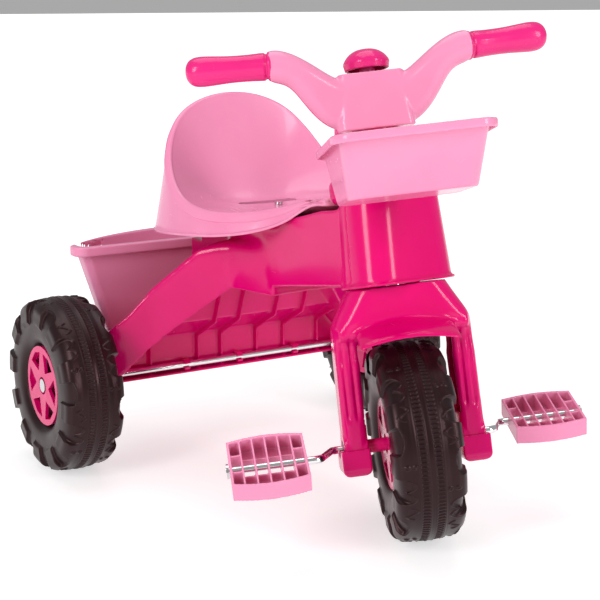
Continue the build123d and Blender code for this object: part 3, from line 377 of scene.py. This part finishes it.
# name: colour, deeper colour, rubbed colour, roughness, coat
PLASTICS = {
    "body_pink": ((0.69, 0.0006, 0.150), (0.63, 0.0005, 0.128), (0.76, 0.04, 0.22), 0.16, 0.12),
    "pale_pink": ((0.800, 0.275, 0.450), (0.765, 0.240, 0.415), (0.86, 0.46, 0.60), 0.20, 0.18),
    "grip_pink": ((0.72, 0.018, 0.190), (0.66, 0.013, 0.165), (0.80, 0.12, 0.30), 0.22, 0.18),
    # nylon: the sleeves are pink plastic; this dark purple-pink is the colour they show in shade, so it is
    # painted shade
    "nylon": ((0.20, 0.012, 0.085), (0.15, 0.008, 0.065), (0.4, 0.06, 0.18), 0.35, 0.05),
    "bellows_pink": ((0.60, 0.012, 0.150), (0.52, 0.009, 0.12), (0.7, 0.10, 0.25), 0.3, 0.05),
}
materials = {name: gloss_plastic(name, *values) for name, values in PLASTICS.items()}
materials["tyre_black"] = tyre_plastic()
materials["chrome"] = plated_steel("chrome", (0.78, 0.78, 0.79), 0.09, (0.05, 1, 1), 0.35)
materials["zinc"] = plated_steel("zinc", (0.62, 0.62, 0.63), 0.22, (1, 1, 1), 0.6)
slots = {part["node"]: part["material_slot"] for part in frame["record"]["subparts"]}
for node, thing in frame["nodes"].items():
    thing.data.materials.clear()
    finish = "bellows_pink" if node in ("horn_bellows", "horn_spring") else slots[node]
    thing.data.materials.append(materials[finish])
    for polygon in thing.data.polygons:
        polygon.use_smooth = True
    split = thing.modifiers.new("crisp", "EDGE_SPLIT")
    split.split_angle = math.radians(EDGE_ANGLE)


# ---- tyres ---------------------------------------------------------------------------------------------
def tyre_profile():
    """Half section of a tyre, from the crown to the bore, as (distance from middle, radius)."""
    corners = [(0, 103.4), (9, 102.9), (18, 101.4), (25, 98.4), (30.5, 92.5), (33, 84), (33.8, 72), (33.4, 61),
               (31, 54.5), (26, WELL_RADIUS), (WEB_HALF + 2, WELL_RADIUS - 3), (WEB_HALF, WELL_RADIUS - 7)]
    smooth = rounded_path(corners, 3)
    bore = np.array([(WEB_HALF, 20.0), (WEB_HALF, 7.0), (0, 7.0)])
    return np.vstack([smooth, bore])


def coast_line(turn, kind):
    """Where the cut between two shoulder blocks starts, as a distance from the crown."""
    waves = np.abs(np.sin(2 * np.pi * turn)) ** 0.7
    double = 27 - 9.5 * waves
    single = 28 - 4.0 * np.sin(np.pi * turn)
    return np.where(kind > 0.5, double, single)


def tread_height(across, angle, phase):
    """Relief of the tread at distances across from the crown, by angle in degrees."""
    pitch = (angle + phase) / LUG_PITCH
    turn = pitch - np.floor(pitch)
    kind = np.floor(pitch) % 2
    inside = turn / CUT_SHARE
    in_cut = smooth_step(0, 0.06, inside) * (1 - smooth_step(0.94, 1.0, inside))
    coast = coast_line(np.clip(inside, 0, 1), kind)
    block = 5.0 * smooth_step(17, 31, across) * (1 - smooth_step(49, 54, across))
    block -= 1.7 * smooth_step(33, 43, across) * (1 - smooth_step(49, 54, across))
    cut = smooth_step(-0.9, 0.9, across - coast) * in_cut
    relief = block * (1 - cut)
    line_ends = smooth_step(-0.02, 0.05, inside) * (1 - smooth_step(0.95, 1.02, inside))
    relief += 1.3 * np.exp(-(across - coast) ** 2) * line_ends
    # the S-shaped bead on every other block
    middle = (turn - (CUT_SHARE + 1) / 2) * LUG_PITCH
    bead_at = 20.5 + 4.2 * np.sin(middle * np.pi / 4.2)
    bead = np.exp(-((across - bead_at) / 1.1) ** 2) * (np.abs(middle) < 4.6) * (kind > 0.5)
    relief += 1.3 * bead
    # two round studs on the other blocks
    arc = np.radians(middle) * TYRE_RADIUS
    for place in (16.5, 23.5):
        far = np.hypot(arc, across - place)
        relief += 1.2 * np.exp(-((far - 1.7) / 0.8) ** 2) * (kind < 0.5)
    # two ribbed bands and the thin lines beside them
    rib = 0.5 + 0.5 * np.cos(2 * np.pi * angle / RIB_PITCH)
    band = smooth_step(3.6, 4.4, across) * (1 - smooth_step(10.4, 11.2, across))
    relief -= 1.25 * band * smooth_step(0.35, 0.6, rib)
    for place in (2.9, 12.2):
        relief += 0.8 * np.exp(-((across - place) / 0.55) ** 2)
    return relief


def tyre_mesh(name, place):
    """A whole tyre about the X axis of its placement."""
    around = 1152
    half = tyre_profile()
    steps = np.linalg.norm(np.diff(half, axis=0), axis=1)
    along = np.concatenate([[0], np.cumsum(steps)])
    tread = np.concatenate([np.arange(0, 22, 0.8), np.arange(22, 56, 1.1)])
    rest = np.linspace(57, along[-1], 22)
    stations = np.concatenate([tread, rest])
    x = np.interp(stations, along, half[:, 0])
    r = np.interp(stations, along, half[:, 1])
    slope_x, slope_r = np.gradient(x, stations), np.gradient(r, stations)
    length = np.hypot(slope_x, slope_r)
    out_x, out_r = -slope_r / length, slope_x / length
    angle = np.arange(around) * 360 / around
    grid_angle, grid_across = np.meshgrid(angle, stations, indexing="ij")
    sides = []
    for sign, phase in ((1, 0.0), (-1, LUG_PITCH / 2)):
        height = tread_height(grid_across, grid_angle, phase)
        xx = sign * (x + out_x * height)
        rr = r + out_r * height
        theta = np.radians(grid_angle)
        sides.append(np.stack([xx, rr * np.cos(theta), rr * np.sin(theta)], axis=-1))
    whole = np.concatenate([sides[0][:, ::-1], sides[1][:, 1:-1]], axis=1)
    return grid_mesh(name, placed(whole, place), True, True)


def build_tyres():
    for side, sign in (("left", 1), ("right", -1)):
        place = frame_of((sign, 0, 0), (0, 0, 1), rear_centre[side])
        new_object(f"tyre_rear_{side}", tyre_mesh(f"tyre_rear_{side}", place), f"rear_wheel_{side}",
                   [f"rear_tyre_{side}"], "tyre_black")
    new_object("tyre_front", tyre_mesh("tyre_front", front_wheel_place), "front_wheel",
               ["front_tyre"], "tyre_black")


# ---- seat ----------------------------------------------------------------------------------------------
def mirrored_loop(half):
    """A closed, left-right symmetric line through half its points, smoothed."""
    other = [(-x, y, z) for x, y, z in reversed(half[1:-1])]
    return rounded_path(half + other, 3, closed=True)


def seat_rim_line():
    """Outer edge of the rim: low beside the thighs, high and round behind the back."""
    back, foot, nose = rear_y, foot_z, steer_point.y + SEAT_NOSE
    half = [(0, nose, foot + 84), (24, nose, foot + 84), (43, nose + 2, foot + 84), (45, nose + 20, foot + 82),
            (47, back - 252, foot + 78), (58, back - 226, foot + 69), (82, back - 196, foot + 61),
            (104, back - 166, foot + 58), (114, back - 134, foot + 59), (118, back - 100, foot + 66),
            (117, back - 70, foot + 82), (110, back - 44, foot + 107), (96, back - 24, foot + 135),
            (74, back - 11, foot + 159), (40, back - 4, foot + 174), (0, back - 2, foot + 179)]
    return mirrored_loop(half)


def seat_skirt_line():
    """Lower edge of the seat, wider than its rim so that the walls lean in."""
    back, foot, nose = rear_y, foot_z, steer_point.y + SEAT_NOSE
    half = [(0, nose, foot + 76), (24, nose, foot + 76), (43, nose + 2, foot + 76), (46, nose + 20, foot + 75),
            (48, back - 252, foot + 67), (60, back - 226, foot + 48), (86, back - 196, foot + 36),
            (110, back - 166, foot + 31), (121, back - 134, foot + 28), (125, back - 100, foot + 25),
            (126, back - 66, foot + 22), (122, back - 34, foot + 20), (108, back - 8, foot + 19),
            (84, back + 5, foot + 18), (44, back + 10, foot + 18), (0, back + 11, foot + 18)]
    return mirrored_loop(half)


def pan_height(y):
    """Top of the pan along the middle."""
    stations = np.array([-400, -290, -250, -200, -95, 5]) + rear_y
    return np.interp(y, stations, np.array([80, 75, 64, 54, 53, 56]) + foot_z)


def seat_mesh():
    """Skirt, rolled rim and bowl as one surface, from the skirt's edge to the middle of the pan."""
    rim, skirt = seat_rim_line(), seat_skirt_line()
    centre = np.stack([np.zeros(len(rim)), np.clip(rim[:, 1], steer_point.y + 80, rear_y - 118)], axis=1)
    inward = centre - rim[:, :2]
    reach = np.linalg.norm(inward, axis=1)
    inward /= reach[:, None]
    tall = rim[:, 2] - skirt[:, 2]
    band = np.minimum(SEAT_RIM_BAND, 0.5 * tall)
    backness = smooth_step(rear_y - 150, rear_y - 40, rim[:, 1])
    wide = 36 + 44 * backness
    loops = []

    def wall_loop(share, depth, lift=0.0):
        line = skirt + (rim - skirt) * np.clip(share, 0, 1)[:, None]
        loops.append(np.column_stack([line[:, :2] + inward * depth, line[:, 2] + lift]))

    def rim_loop(depth, drop):
        loops.append(np.column_stack([rim[:, :2] + inward * depth, rim[:, 2] - drop]))

    ones = np.ones(len(rim))
    for depth, lift in ((4.2, 1.4), (2.0, 0.2), (0.6, 0.0), (0.0, 0.8), (0.0, 2.6), (1.8, 3.6)):
        wall_loop(0 * ones, depth, lift)
    top_share = 1 - band / tall
    for part in np.linspace(0.08, 1, 16):
        wall_loop(top_share * part, 2.0, 3.6 * (1 - part))
    wall_loop(top_share, 1.4, 0.6)
    wall_loop(top_share, 0.2, 1.6)
    for drop in (0.75, 0.55, 0.4):
        wall_loop(1 - band * drop / tall, 0.0)
    for turn in np.linspace(0.15, 1, 8):
        a = turn * math.pi / 2
        rim_loop(4.5 * (1 - math.cos(a)), 4.5 * (1 - math.sin(a)))
    for turn in np.linspace(0.25, 1, 5):
        a = turn * math.pi / 2
        rim_loop(4.5 + 3.5 * math.sin(a), 3.0 * (1 - math.cos(a)))
    for share in np.linspace(0.012, 1, 40) ** 1.4:
        depth = SEAT_LIP + (reach - SEAT_LIP) * share
        pan = pan_height(rim[:, 1] + inward[:, 1] * depth)
        fall = np.clip((depth - SEAT_LIP) / wide, 0, 1)
        curve = (1 - fall) ** 2.3
        dish = 3.0 * (1 - share)
        edge = rim[:, 2] - 3.2
        level = pan + dish + (edge - pan - dish) * curve
        loops.append(np.column_stack([rim[:, :2] + inward * depth[:, None], np.minimum(level, edge)]))
    mesh = grid_mesh("seat_shell", np.stack(loops, axis=1), True, False)
    bm = bmesh.new()
    bm.from_mesh(mesh)
    bmesh.ops.remove_doubles(bm, verts=bm.verts, dist=0.0003)
    bmesh.ops.dissolve_degenerate(bm, edges=bm.edges, dist=0.00005)
    bm.to_mesh(mesh)
    bm.free()
    return mesh


def slot_cutter():
    """Round-ended bar that cuts the hand slot."""
    half, width, tall = SLOT_HALF, SLOT_WIDTH, SLOT_CUT_TALL
    ring = []
    for turn in np.linspace(0, 2 * math.pi, 48, endpoint=False):
        x = math.copysign(half - width / 2, math.cos(turn)) + math.cos(turn) * width / 2
        ring.append((x, math.sin(turn) * width / 2))
    bm = bmesh.new()
    rows = []
    for z in (-tall / 2, tall / 2):
        rows.append([bm.verts.new((x * MM, (y + rear_y - SLOT_BACK) * MM, (z + foot_z + SLOT_RISE) * MM))
                     for x, y in ring])
    count = len(ring)
    for i in range(count):
        j = (i + 1) % count
        bm.faces.new((rows[0][i], rows[0][j], rows[1][j], rows[1][i]))
    bm.faces.new(list(reversed(rows[0])))
    bm.faces.new(rows[1])
    mesh = bpy.data.meshes.new("slot_cutter")
    bm.to_mesh(mesh)
    bm.free()
    cutter = bpy.data.objects.new("slot_cutter", mesh)
    bpy.context.scene.collection.objects.link(cutter)
    return cutter


def build_seat():
    work = bpy.data.objects.new("seat_work", seat_mesh())
    bpy.context.scene.collection.objects.link(work)
    bm = bmesh.new()
    bm.from_mesh(work.data)
    tilt = sum(face.normal.z * face.calc_area() for face in bm.faces)
    if tilt < 0:
        bmesh.ops.reverse_faces(bm, faces=bm.faces)
    bm.to_mesh(work.data)
    bm.free()
    wall = work.modifiers.new("wall", "SOLIDIFY")
    wall.thickness = SEAT_WALL * MM
    wall.offset = -1
    wall.use_even_offset = False
    cutter = slot_cutter()
    cut = work.modifiers.new("slot", "BOOLEAN")
    cut.object = cutter
    cut.operation = "DIFFERENCE"
    cut.solver = "EXACT"
    mesh = baked(work)
    bpy.data.objects.remove(work)
    bpy.data.objects.remove(cutter)
    piece = new_object("seat_moulding", mesh, "chassis", ["seat"], "pale_pink")
    crisp = piece.modifiers.new("crisp", "EDGE_SPLIT")
    crisp.split_angle = math.radians(CUT_EDGE_ANGLE)
    return piece


# ---- grips ---------------------------------------------------------------------------------------------
def lathe_mesh(name, profile, place):
    """Surface of revolution about X from (along, radius) points."""
    angle = np.arange(GRIP_AROUND) * 2 * math.pi / GRIP_AROUND
    grid_angle, _ = np.meshgrid(angle, profile[:, 0], indexing="ij")
    radius = np.broadcast_to(profile[:, 1], grid_angle.shape)
    points = np.stack([np.broadcast_to(profile[:, 0], grid_angle.shape), radius * np.cos(grid_angle),
                       radius * np.sin(grid_angle)], axis=-1)
    return grid_mesh(name, placed(points, place), True, False)


def grip_profile():
    """Closed outline of a grip: collar ring, groove, waist, bulge and round end."""
    long, big = GRIP_LENGTH, GRIP_RADIUS
    outer = [(0.4, 10.1), (0.4, big - 1.2), (1.6, big), (4.4, big), (5.2, big - 0.8), (5.6, big - 2.3),
             (7.6, big - 2.3), (8.2, big - 1.0), (12, big - 0.9), (26, big - 1.6), (44, big - 1.5),
             (60, big - 0.3), (72, big + 0.5), (80, big - 0.2), (85, big - 2.6), (88, big - 6.2),
             (long - 0.6, big - 10.5), (long, 0.05)]
    path = rounded_path(outer, 2)
    return resampled(path, 150)


def build_grips():
    for side, sign in (("left", 1), ("right", -1)):
        low, high = (np.array(corner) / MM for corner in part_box(f"grip_{side}"))
        centre = Vector((low + high) / 2)
        rise, sweep = math.radians(GRIP_RISE), math.radians(GRIP_SWEEP)
        along = Vector((sign * math.cos(sweep) * math.cos(rise), math.sin(sweep), math.sin(rise)))
        outward = (steered.to_3x3() @ along).normalized()
        start = centre - outward * GRIP_LENGTH / 2
        place = frame_of(outward, steer_axis - outward * steer_axis.dot(outward), start)
        mesh = lathe_mesh(f"grip_sleeve_{side}", grip_profile(), place)
        new_object(f"grip_sleeve_{side}", mesh, "front_end", [f"grip_{side}"], "grip_pink")


# ---- pedals ----------------------------------------------------------------------------------------------
def slab(bm, low, high):
    """A plain block between two corners, in millimetres."""
    made = bmesh.ops.create_cube(bm, size=1.0)
    low, high = Vector(low), Vector(high)
    middle, size = (low + high) / 2, high - low
    for vert in made["verts"]:
        vert.co = Vector([middle[k] + vert.co[k] * size[k] for k in range(3)])


def curved_wall(bm, half_w, depth, crown, thick, low, high, sign):
    """The pedal's front or rear wall, bowed outward."""
    steps = 24
    ring = []
    for i in range(steps + 1):
        x = -half_w + 2 * half_w * i / steps
        ring.append((x, sign * (depth - crown * (x / half_w) ** 2)))
    inner = [(x, y - sign * thick) for x, y in reversed(ring)]
    outline = ring + inner
    rows = [[bm.verts.new((x, y, z)) for x, y in outline] for z in (low, high)]
    count = len(outline)
    for i in range(count):
        j = (i + 1) % count
        bm.faces.new((rows[0][i], rows[0][j], rows[1][j], rows[1][i]))
    bm.faces.new(list(reversed(rows[0])))
    bm.faces.new(rows[1])


def pedal_mesh(name, place):
    """Ribbed pedal: bowed walls, five ribs, end pockets, and floors that leave the spindle in view."""
    half_w, half_d, crown, tall = 38.4, 36.9, 5.0, 9.9
    bm = bmesh.new()
    for sign in (-1, 1):
        curved_wall(bm, half_w, half_d, crown, 3.0, -tall, tall, sign)
        edge = half_d - crown
        end = sign * (half_w - 1.3)
        slab(bm, (end - 1.3, -edge - 0.5, -tall), (end + 1.3, edge + 0.5, tall))
        floor_from, floor_to = sorted((sign * 12.0, sign * (edge + 1)))
        slab(bm, (-half_w + 1, floor_from, -tall + 0.5), (half_w - 1, floor_to, -tall + 3.0))
        slab(bm, (-half_w, sign * 12.0 - 1.0, -tall + 0.5), (half_w, sign * 12.0 + 1.0, tall - 9))
        pocket = half_w - half_w / 3
        low_x, high_x = sorted((sign * pocket, sign * half_w))
        for y in (-12.0, 12.0):
            slab(bm, (low_x, y - 0.9, -tall + 0.5), (high_x, y + 0.9, tall - 1.2))
    for i in range(1, PEDAL_COLUMNS):
        x = -half_w + 2 * half_w * i / PEDAL_COLUMNS
        reach = half_d - crown * (x / half_w) ** 2 - 1.5
        slab(bm, (x - PEDAL_RIB, -reach, -tall + 0.5), (x + PEDAL_RIB, reach, tall - 0.6))
    bmesh.ops.recalc_face_normals(bm, faces=bm.faces)
    mesh = bpy.data.meshes.new(name)
    bm.to_mesh(mesh)
    bm.free()
    mesh.transform(Matrix.Scale(MM, 4))
    work = bpy.data.objects.new(name + "_work", mesh)
    bpy.context.scene.collection.objects.link(work)
    remesh = work.modifiers.new("even", "REMESH")
    remesh.mode = "VOXEL"
    remesh.voxel_size = PEDAL_VOXEL * MM
    cored = baked(work)
    bpy.data.objects.remove(work)
    cored = smoothed(cored, None, 2)
    reshape(cored, lambda points, _: placed(points, place))
    return cored


def build_pedals():
    for side, tilt in PEDAL_TILT.items():
        spindle = mm(joints[f"pedal_{side}_spin"]["pos_m"])
        up = Matrix.Rotation(math.radians(tilt), 3, wheel_axis) @ steer_axis
        place = frame_of(wheel_axis, up, spindle)
        mesh = pedal_mesh(f"pedal_grid_{side}", place)
        new_object(f"pedal_grid_{side}", mesh, f"pedal_{side}", [f"pedal_{side}"], "pale_pink")


# ---- moulded pieces that keep the frame's shape with rounded edges ---------------------------------------
def leg_grooves(points, normals):
    """Two long flutes down the front of each fork leg."""
    local = placed(points, steered.inverted())
    facing = -(normals @ np.array(steered.to_3x3())[:, 1])
    low, high = AXLE_W + 26, AXLE_W + 118
    fade = smooth_step(low, low + 12, local[:, 2]) * (1 - smooth_step(high - 14, high, local[:, 2]))
    front = smooth_step(0.35, 0.8, facing)
    middle = LEG_INNER + LEG_WIDTH / 2
    depth = np.zeros(len(points))
    for offset in (-4.8, 4.8):
        depth += 2.2 * np.exp(-((np.abs(local[:, 0]) - middle - offset) / 1.9) ** 2)
    return points - normals * (depth * fade * front)[:, None]


def body_flanks(points):
    """Where the body's flanks and shoulders flow together: outside and above the axle channel."""
    out = np.abs(points[:, 0])
    back = points[:, 1] - rear_y
    behind = smooth_step(-215, -190, back) * (1 - smooth_step(-50, -30, back))
    outside = smooth_step(38, 50, out) * (1 - smooth_step(168, 178, out))
    line = foot_z - 38 - (out - 66)
    above = smooth_step(line + 3, line + 14, points[:, 2])
    return behind * outside * above


def fork_shoulders(points):
    """The fork's crown and shoulders, above the legs."""
    local = placed(points, steered.inverted())
    crown = smooth_step(AXLE_W + 84, AXLE_W + 100, local[:, 2])
    below_column = 1 - smooth_step(AXLE_W + 150, AXLE_W + 158, local[:, 2])
    return crown * below_column


def build_mouldings():
    fine = 1.2
    plain = 1.7
    softened("main_body", plain, 5, "body_moulding", "body_pink", blend=body_flanks, blend_passes=160)
    softened("fork", fine, 7, "fork_moulding", "body_pink", shape=leg_grooves, blend=fork_shoulders,
             blend_passes=150)
    softened("column_cover", fine, 8, "column_front_cover", "body_pink")
    softened("steering_collar", fine, 3, "collar_moulding", "body_pink")
    softened("handlebar_rear_shell", fine, 10, "bar_rear_moulding", "body_pink")
    softened("handlebar_front_shell", fine, 10, "bar_front_moulding", "pale_pink")
    softened("front_basket", fine, 22, "basket_moulding", "pale_pink")
    softened("rear_bucket", fine, 12, "bucket_moulding", "pale_pink")
    softened("horn_button", 0.9, 2, "horn_dome", "grip_pink")
    for side in ("left", "right"):
        softened(f"fork_cap_{side}", 1.0, 9, f"fork_foot_cap_{side}", "body_pink")


# ---- camera, light and floor ---------------------------------------------------------------------------
def build_camera():
    camera = bpy.data.objects.new("camera", bpy.data.cameras.new("camera"))
    bpy.context.scene.collection.objects.link(camera)
    ahead = Vector((0.507575, 0.834300, -0.215201)).normalized()
    right = Vector((0.854306, -0.519771, -0.0001)).normalized()
    up = right.cross(ahead).normalized()
    turn = Matrix((right, up, -ahead)).transposed().to_4x4()
    turn.translation = (wheel_centre + Vector((-810.8, -1107.3, 450.0))) * MM
    camera.matrix_world = turn
    camera.data.sensor_width = 36
    camera.data.lens = 82.93
    camera.data.dof.use_dof = False
    bpy.context.scene.camera = camera


def area_light(name, place, target, size, power):
    data = bpy.data.lights.new(name, "AREA")
    data.shape = "RECTANGLE"
    data.size, data.size_y = size
    data.energy = power
    light = bpy.data.objects.new(name, data)
    bpy.context.scene.collection.objects.link(light)
    light.location = place
    aim = Vector(target) - Vector(place)
    light.rotation_euler = aim.to_track_quat("-Z", "Y").to_euler()


def build_studio():
    floor_mesh = bpy.data.meshes.new("floor")
    reach = 40.0
    floor_mesh.from_pydata([(-reach, -reach, 0), (reach, -reach, 0), (reach, reach, 0), (-reach, reach, 0)], [],
                           [(0, 1, 2, 3)])
    floor = bpy.data.objects.new("floor", floor_mesh)
    bpy.context.scene.collection.objects.link(floor)
    floor_shader = bpy.data.materials.new("pale_floor")
    floor_shader.use_nodes = True
    surface = floor_shader.node_tree.nodes["Principled BSDF"]
    surface.inputs["Base Color"].default_value = (0.62, 0.617, 0.617, 1)
    surface.inputs["Roughness"].default_value = 0.35
    surface.inputs["Specular IOR Level"].default_value = 0.35
    tree = floor_shader.node_tree
    coords = tree.nodes.new("ShaderNodeTexCoord")
    length = tree.nodes.new("ShaderNodeVectorMath")
    length.operation = "LENGTH"
    tree.links.new(coords.outputs["Object"], length.inputs[0])
    # painted light: the floor glows, weakly around the object and more strongly further out, so the far floor
    # reads as a white backdrop
    painted_floor_glow = tree.nodes.new("ShaderNodeMapRange")
    painted_floor_glow.inputs["From Min"].default_value = 0.2
    painted_floor_glow.inputs["From Max"].default_value = 2.6
    painted_floor_glow.inputs["To Min"].default_value = 0.58
    painted_floor_glow.inputs["To Max"].default_value = 0.86
    tree.links.new(length.outputs["Value"], painted_floor_glow.inputs["Value"])
    surface.inputs["Emission Color"].default_value = (1, 0.992, 0.992, 1)
    tree.links.new(painted_floor_glow.outputs["Result"], surface.inputs["Emission Strength"])
    floor.data.materials.append(floor_shader)
    world = bpy.data.worlds.new("studio")
    world.use_nodes = True
    world.node_tree.nodes["Background"].inputs["Color"].default_value = (1, 0.99, 0.99, 1)
    world.node_tree.nodes["Background"].inputs["Strength"].default_value = 0.40
    bpy.context.scene.world = world
    area_light("key_left", (-2.6, -1.0, 1.5), (0, -0.1, 0.3), (0.8, 1.7), 48)
    area_light("key_right", (0.9, -2.6, 1.3), (0, -0.1, 0.3), (0.55, 1.7), 34)
    area_light("overhead", (0.1, 0.5, 2.6), (0, 0, 0.2), (1.8, 1.8), 22)
    bpy.context.scene.view_settings.view_transform = "Standard"


build_camera()
build_studio()
build_tyres()
build_seat()
build_grips()
build_pedals()
build_mouldings()
